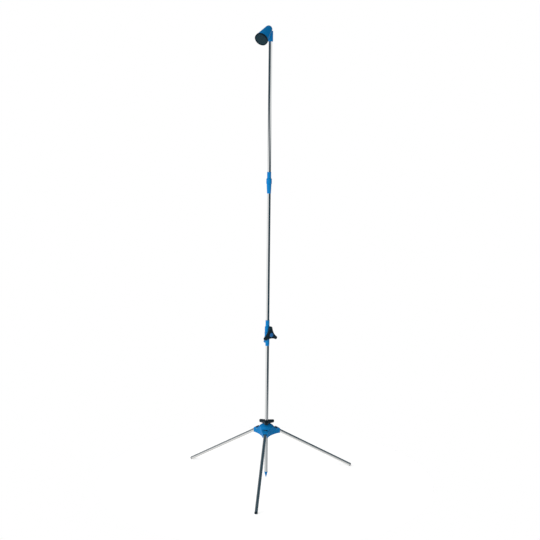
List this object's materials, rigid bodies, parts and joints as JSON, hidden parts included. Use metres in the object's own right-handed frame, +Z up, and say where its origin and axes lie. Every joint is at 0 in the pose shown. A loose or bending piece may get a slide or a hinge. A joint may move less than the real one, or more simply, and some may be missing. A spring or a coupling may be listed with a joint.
{
  "type": "outdoor shower",
  "caption": "Free-standing garden shower: folding tripod, chromed pole clamped in a blue hub, shut-off valve with hose inlet, screwed unions and a tilting head.",
  "frame": {"origin": "the point of the floor under the pole's axis, in the plane of the three feet", "axes": "+Z up along the pole, -Y the front, where the foremost leg, the valve knob and the shower head point"},
  "size_m": [0.785, 0.7165, 2.0805],
  "materials": {
    "blue_plastic": "moulded blue plastic, satin to semi-gloss",
    "blue_cap": "darker blue moulded cap",
    "black_plastic": "blue-black moulded plastic, fine grain",
    "dark_plate": "dark grey, smooth",
    "grey_acetal": "natural grey acetal",
    "seal_rubber": "black rubber",
    "chrome_tube": "bright chromed steel tube",
    "steel_pin": "plain steel",
    "brass": "turned brass"
  },
  "bodies": {
    "stand": {"hub_body": "blue_plastic", "hub_pins": "steel_pin"},
    "leg_1": {"leg_tube_1": "chrome_tube", "leg_hinge_plug_1": "black_plastic", "foot_plug_1": "black_plastic"},
    "leg_2": {"leg_tube_2": "chrome_tube", "leg_hinge_plug_2": "black_plastic", "foot_plug_2": "black_plastic"},
    "leg_3": {"leg_tube_3": "chrome_tube", "leg_hinge_plug_3": "black_plastic", "foot_plug_3": "black_plastic"},
    "clamp_collet": {"clamp_collet": "grey_acetal"},
    "clamp_knob": {"clamp_knob": "black_plastic"},
    "lower_pole": {"lower_tube": "chrome_tube", "ground_spike": "blue_plastic", "valve_body": "blue_plastic", "valve_seat": "seal_rubber", "valve_bonnet": "black_plastic", "spindle_seal": "seal_rubber", "hose_nipple": "blue_plastic", "nipple_seal": "seal_rubber", "lower_union_seal": "seal_rubber"},
    "valve_knob": {"valve_spindle": "brass", "valve_knob": "black_plastic", "knob_screw": "steel_pin", "knob_cap": "blue_cap"},
    "valve_piston": {"valve_piston": "brass", "piston_washer": "seal_rubber"},
    "lower_grip": {"lower_grip_ring": "grey_acetal"},
    "lower_nut": {"lower_union_nut": "blue_plastic"},
    "middle_pole": {"middle_tube": "chrome_tube", "coupling_body": "blue_plastic", "upper_union_seal": "seal_rubber"},
    "upper_grip": {"upper_grip_ring": "grey_acetal"},
    "upper_nut": {"upper_union_nut": "blue_plastic"},
    "upper_pole": {"upper_tube": "chrome_tube", "head_holder": "blue_plastic", "holder_seal": "seal_rubber", "ball_stem": "grey_acetal"},
    "head": {"head_hood": "blue_plastic", "ball_seat_ring": "grey_acetal", "plate_gasket": "seal_rubber", "spray_plate": "dark_plate", "head_bezel": "black_plastic"}
  },
  "joints": [
    {"name": "leg_1_fold", "type": "hinge", "parent": "stand", "child": "leg_1", "pos_m": [-0.00413, -0.04581, 0.23844], "axis": [0.996, -0.0898, 0], "range_deg": [0, 60]},
    {"name": "leg_2_fold", "type": "hinge", "parent": "stand", "child": "leg_2", "pos_m": [-0.03761, 0.02648, 0.23844], "axis": [-0.5757, -0.8176, 0], "range_deg": [0, 60]},
    {"name": "leg_3_fold", "type": "hinge", "parent": "stand", "child": "leg_3", "pos_m": [0.04174, 0.01933, 0.23844], "axis": [-0.4202, 0.9074, 0], "range_deg": [0, 60]},
    {"name": "clamp_lift", "type": "slide", "parent": "stand", "child": "clamp_collet", "axis": [0, 0, 1], "range_m": [0, 0.0025]},
    {"name": "clamp_turn", "type": "hinge", "parent": "clamp_collet", "child": "clamp_knob", "pos_m": [0, 0, 0.26704], "axis": [0, 0, 1], "range_deg": [0, 360]},
    {"name": "pole_slide", "type": "slide", "parent": "stand", "child": "lower_pole", "axis": [0, 0, 1], "range_m": [-0.32, 0.16]},
    {"name": "valve_turn", "type": "hinge", "parent": "lower_pole", "child": "valve_knob", "pos_m": [0, 0, 0.695], "axis": [0.5878, -0.809, 0], "range_deg": [0, 360]},
    {"name": "valve_lift", "type": "slide", "parent": "lower_pole", "child": "valve_piston", "axis": [0.5878, -0.809, 0], "range_m": [0, 0.005]},
    {"name": "lower_grip_lift", "type": "slide", "parent": "lower_pole", "child": "lower_grip", "axis": [0, 0, 1], "range_m": [0, 0.002]},
    {"name": "lower_nut_turn", "type": "hinge", "parent": "lower_grip", "child": "lower_nut", "pos_m": [0, 0, 0.704], "axis": [0, 0, 1], "range_deg": [0, 360]},
    {"name": "middle_swivel", "type": "hinge", "parent": "lower_pole", "child": "middle_pole", "pos_m": [0, 0, 0.708], "axis": [0, 0, 1], "range_deg": [-180, 180]},
    {"name": "upper_grip_lift", "type": "slide", "parent": "middle_pole", "child": "upper_grip", "axis": [0, 0, 1], "range_m": [0, 0.002]},
    {"name": "upper_nut_turn", "type": "hinge", "parent": "upper_grip", "child": "upper_nut", "pos_m": [0, 0, 1.3833], "axis": [0, 0, 1], "range_deg": [0, 360]},
    {"name": "upper_swivel", "type": "hinge", "parent": "middle_pole", "child": "upper_pole", "pos_m": [0, 0, 1.374], "axis": [0, 0, 1], "range_deg": [-180, 180]},
    {"name": "head_tilt", "type": "hinge", "parent": "upper_pole", "child": "head", "pos_m": [-0.00901, -0.015, 2.064], "axis": [0.8572, -0.515, 0], "range_deg": [-20, 15]}
  ],
  "couplings": [
    {"joint": "clamp_lift", "follows": "clamp_turn", "m_per_rad": 0.00039789},
    {"joint": "valve_lift", "follows": "valve_turn", "m_per_rad": 0.00079577},
    {"joint": "lower_grip_lift", "follows": "lower_nut_turn", "m_per_rad": 0.00031831},
    {"joint": "upper_grip_lift", "follows": "upper_nut_turn", "m_per_rad": 0.00031831}
  ]
}
